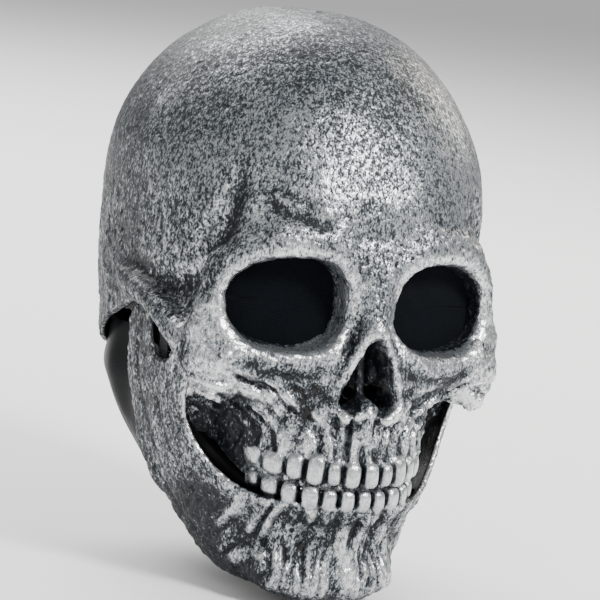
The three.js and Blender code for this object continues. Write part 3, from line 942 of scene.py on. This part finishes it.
def skirt_sheet():
    """Stretch cloth hung from inside the skull's lower edge, open at the front, with upright folds."""
    table = station_rows(SKIRT_STATIONS)
    rows, around = 44, 260
    along = np.linspace(0, 1, around) * 37 * math.pi
    places = []
    for r in range(rows):
        share = r / (rows - 1)
        level = SKIRT_TOP - SKIRT_DROP * share
        half, front, back, middle, square = (np.interp(level, table[:, 0], table[:, i]) for i in range(1, 6))
        opening = ((middle - SKIRT_FRONT) / (middle - front)) ** (square / 2)
        start = math.asin(min(max(opening, 0.05), 0.999))
        angle = np.linspace(-start, math.pi + start, around)
        c, s = np.cos(angle), np.sin(angle)
        reach = np.where(s < 0, middle - front, back - middle)
        x = np.sign(c) * np.abs(c) ** (2 / square) * half
        y = middle + np.sign(s) * np.abs(s) ** (2 / square) * reach

        # In front the cloth tucks inside the jaw's branches
        branch = 70 - 0.1 * np.maximum(-60 - level, 0)
        x = x - np.sign(x) * np.maximum(np.abs(x) - branch, 0) * ease(y, 38, 20)
        fold = (0.15 + 0.85 * share) * (0.7 * np.sin(along * 0.5 + 1.3 * np.sin(along * 0.17))
                                        + 0.5 * np.sin(along * 1.1 + 2 * share))
        inward = 0.9 - fold * 0.9

        # The top edge climbs towards the back with the skull's rim, and the hem lifts in front
        rim_rise = np.clip((y - SKIRT_FRONT) / 54, 0, 1) * 10 - 12
        hem_rise = 13 * np.clip((-8 - y) / 26, 0, 1)
        z = level + rim_rise * (1 - share) + hem_rise * share
        places.append(np.stack([x - c * inward, y - s * inward, z], 1))
    places = np.concatenate(places)
    return places, shared(rows, around, closed=False)


def surface_area(places, faces):
    """Area of a sheet of quads, in square metres."""
    a, b, c, d = (places[faces[:, i]] for i in range(4))
    halves = np.cross(b - a, c - a), np.cross(c - a, d - a)
    return float(sum(np.linalg.norm(half, axis=1).sum() for half in halves) / 2) * MM * MM


def pad_from_node(node, swell):
    """A soft pad with the CAD pad's outline: the same solid, finely meshed and rounded."""
    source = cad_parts[node].data
    source.calc_loop_triangles()
    points = np.array([v.co for v in source.vertices], float) / MM
    triangles = np.array([t.vertices for t in source.loop_triangles])
    size, room, reach = 1.2, 6, 5
    low = points.min(0) - room
    level = openvdb.FloatGrid.createLevelSetFromPolygons(
        (points - low) / size, triangles=triangles, transform=openvdb.createLinearTransform(1.0),
        halfWidth=reach)
    counts = np.ceil((points.max(0) + room - low) / size).astype(int) + 1
    field = np.empty(counts, np.float32)
    level.copyToArray(field)
    for _ in range(4):
        padded = np.pad(field, 1, mode="edge")
        field = (padded[:-2, 1:-1, 1:-1] + padded[2:, 1:-1, 1:-1]
                 + padded[1:-1, :-2, 1:-1] + padded[1:-1, 2:, 1:-1]
                 + padded[1:-1, 1:-1, :-2] + padded[1:-1, 1:-1, 2:] + 2 * field) / 8
    grid = openvdb.FloatGrid(float(reach))
    grid.copyFromArray(field)
    places, _, quads = grid.convertToPolygons(isovalue=swell, adaptivity=0.0)
    places = places.astype(float) * size + low
    return places, quads


PAD_SWELL = -0.2              # the level of the pad's field that is meshed
STRAP_LINE = ((80, -22, 14), (77.5, -22.5, -2), (74, -23, -22), (72.4, -24, -48), (70.2, -26, -70))
STRAP_WIDTH, STRAP_THICKNESS = 10, 1.2


def elastic_strap(side):
    """Flat ribbed elastic from inside the temple to inside the jaw."""
    points = np.array(STRAP_LINE, float) * [side, 1, 1]
    steps = np.linspace(0, 1, 70)
    at = np.linspace(0, 1, len(points))
    curve = np.stack([np.interp(steps, at, points[:, i]) for i in range(3)], 1)
    for _ in range(30):
        curve[1:-1] = (curve[:-2] + curve[2:] + 2 * curve[1:-1]) / 4
    ripple = 0.12 * np.sin(steps * 150)
    still = np.zeros(len(steps))
    columns = 12
    places = []
    for k in range(columns):
        a = 2 * math.pi * k / columns
        across = STRAP_WIDTH / 2 * math.copysign(abs(math.cos(a)) ** 0.35, math.cos(a))
        thick = STRAP_THICKNESS / 2 * math.copysign(abs(math.sin(a)) ** 0.6, math.sin(a))
        away = side * (thick + ripple * np.sign(thick))
        places.append(curve + np.stack([away, across + still, still], 1))
    places = np.stack(places, 1).reshape(-1, 3)
    faces = shared(len(steps), columns)
    return places, faces if side > 0 else faces[:, ::-1]


LATEX, RUBBER = painted_latex(), black_rubber()
MESH, SATIN, FOAM = woven_mesh(), satin_stretch(), open_foam()
ELASTIC, STEEL = ribbed_elastic(), plated_steel()

skull_solid = skull_clay()
skull_shell = skull_shell_clay(skull_solid)
skull = make_object("skull_casting", *skull_shell.mesh(), LATEX)
finish_casting(skull, skull_solid, skull_shell, list(tooth_forms(*UPPER_ROW)), False)
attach(skull, "skull")
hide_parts("skull_shell")

jaw_solid = jaw_clay()
jaw_shell = jaw_shell_clay(jaw_solid)
jaw = make_object("jaw_casting", *jaw_shell.mesh(), LATEX)
finish_casting(jaw, jaw_solid, jaw_shell, list(tooth_forms(*LOWER_ROW)), True)
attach(jaw, "jaw")
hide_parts("jaw_shell")

skirt_shape = skirt_sheet()
skirt = make_object("neck_skirt_cloth", *skirt_shape, SATIN)
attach(skirt, "skull")
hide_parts("neck_skirt")
skirt_area = surface_area(*skirt_shape)

for label, side in (("right", -1), ("left", 1)):
    cloth_shape = eye_mesh_sheet(side)
    cloth = make_object(f"eye_cloth_{label}", *cloth_shape, MESH)
    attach(cloth, "skull")
    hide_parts(f"eye_mesh_{label}")
    surface_area(*cloth_shape)
    bead = make_object(f"bond_bead_{label}", *bond_bead(side), RUBBER)
    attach(bead, "skull")
    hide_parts(f"mesh_bond_{label}")
    strap = make_object(f"elastic_{label}", *elastic_strap(side), ELASTIC)
    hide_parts(f"jaw_elastic_{label}")
    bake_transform(strap)
    for node, material in ((f"hinge_tab_{label}", RUBBER), (f"hinge_rivet_{label}", STEEL)):
        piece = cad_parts[node]
        piece.data.materials.clear()
        piece.data.materials.append(material)

for name, node, body in (("crown_foam", "crown_pad", "skull"), ("brow_foam", "brow_pad", "skull"),
                         ("nape_foam", "nape_pad", "skull"), ("chin_foam", "chin_cup", "jaw")):
    pad = make_object(name, *pad_from_node(node, PAD_SWELL), FOAM)
    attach(pad, body)
    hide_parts(node)


# Camera: a long lens, three-quarter from the mask's right, a little above, rolled so that the mask leans.
AZIMUTH, ELEVATION, LEAN = math.radians(-26.1), math.radians(9.2), math.radians(-7.1)
DISTANCE = 1738.0
AIM = (5.7, -15.9)            # the middle of the picture from the origin, in mm across and up
VIEW_WIDTH = 299.85           # mm across the picture at the origin


FLOOR_Z, FLOOR_REACH = -152, 9000


def add_camera():
    back = Vector((math.sin(AZIMUTH) * math.cos(ELEVATION), -math.cos(AZIMUTH) * math.cos(ELEVATION),
                   math.sin(ELEVATION)))
    right = Vector((math.cos(AZIMUTH), math.sin(AZIMUTH), 0))
    up = back.cross(right)
    lean = Matrix.Rotation(-LEAN, 4, back)
    right, up = lean @ right, lean @ up
    data = bpy.data.cameras.new("camera")
    data.sensor_width = 36
    data.lens = DISTANCE * data.sensor_width / VIEW_WIDTH
    data.clip_start = 0.05
    camera = bpy.data.objects.new("camera", data)
    place = (back * DISTANCE + right * AIM[0] + up * AIM[1]) * MM
    rotation = Matrix((right, up, back)).transposed().to_4x4()
    camera.matrix_world = Matrix.Translation(place) @ rotation
    bpy.context.scene.collection.objects.link(camera)
    bpy.context.scene.camera = camera


def add_light(name, place, size, power, colour=(1, 1, 1)):
    data = bpy.data.lights.new(name, "AREA")
    data.size = size
    data.energy = power
    data.color = colour
    light = bpy.data.objects.new(name, data)
    light.location = place
    light.rotation_euler = (Vector((0, 0, 0)) - Vector(place)).to_track_quat("-Z", "Y").to_euler()
    bpy.context.scene.collection.objects.link(light)


def add_stage():
    world = bpy.data.worlds.new("studio")
    world.use_nodes = True
    world.node_tree.nodes["Background"].inputs["Color"].default_value = (1, 1, 1, 1)
    world.node_tree.nodes["Background"].inputs["Strength"].default_value = 0.50
    bpy.context.scene.world = world
    corners = [(x * FLOOR_REACH, y * FLOOR_REACH, FLOOR_Z) for x, y in ((-1, -1), (1, -1), (1, 1), (-1, 1))]
    floor = make_object("floor", np.array(corners, float), np.array([[0, 1, 2, 3]]),
                        plain_material("floor", (0.93, 0.93, 0.93), 0.9))
    add_light("key", (0.55, -1.45, 1.15), 0.45, 50)
    add_light("fill", (-1.5, -1.0, 0.6), 0.6, 5)
    add_light("rim", (1.4, 0.7, 0.8), 0.6, 13, (1.0, 0.93, 0.86))
    add_light("floor_glow", (0.0, 1.6, 1.6), 2.0, 90)


add_camera()
add_stage()
